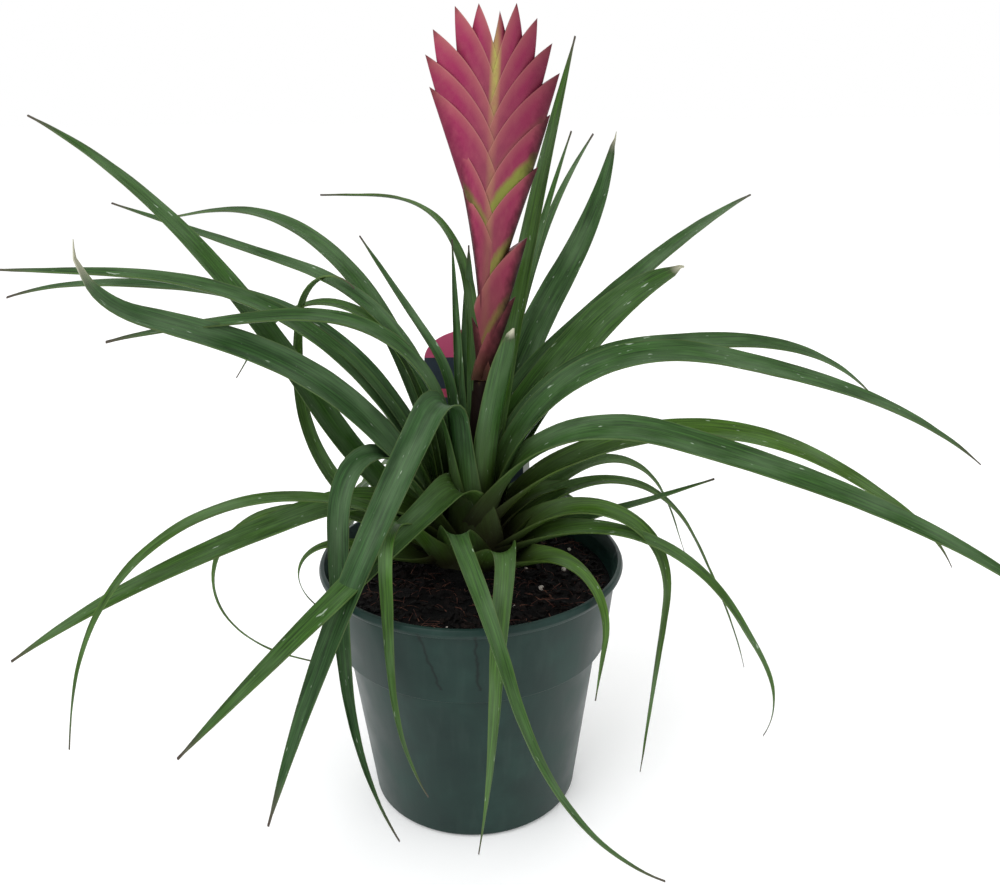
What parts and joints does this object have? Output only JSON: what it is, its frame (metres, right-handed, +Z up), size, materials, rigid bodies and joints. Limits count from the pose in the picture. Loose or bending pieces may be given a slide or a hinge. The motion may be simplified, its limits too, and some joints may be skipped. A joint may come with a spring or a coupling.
{
  "type": "potted flowering bromeliad",
  "caption": "Potted pink quill: a rosette of long arching leaves with a flat pink flower spike, in a banded nursery pot with a bare care card.",
  "frame": {"origin": "centre of the pot's flat underside", "axes": "+Z up; -Y is the side that the flat flower spike faces, and +X is to the right seen from there"},
  "size_m": [0.4917, 0.3056, 0.387],
  "materials": {
    "pot_plastic": "dark green moulded plastic, slightly glossy",
    "potting_mix": "moist dark bark chips and fibres",
    "leaf": "dark green leaf with a waxy sheen",
    "stalk": "brown-green stalk",
    "bract": "rose pink bracts, satin",
    "label_card": "printed plastic card, bare of lettering"
  },
  "bodies": {
    "root": {"pot": "pot_plastic", "potting_mix": "potting_mix", "rosette": "leaf", "flower_stalk": "stalk", "quill_bracts": "bract", "plant_label": "label_card"}
  },
  "joints": []
}
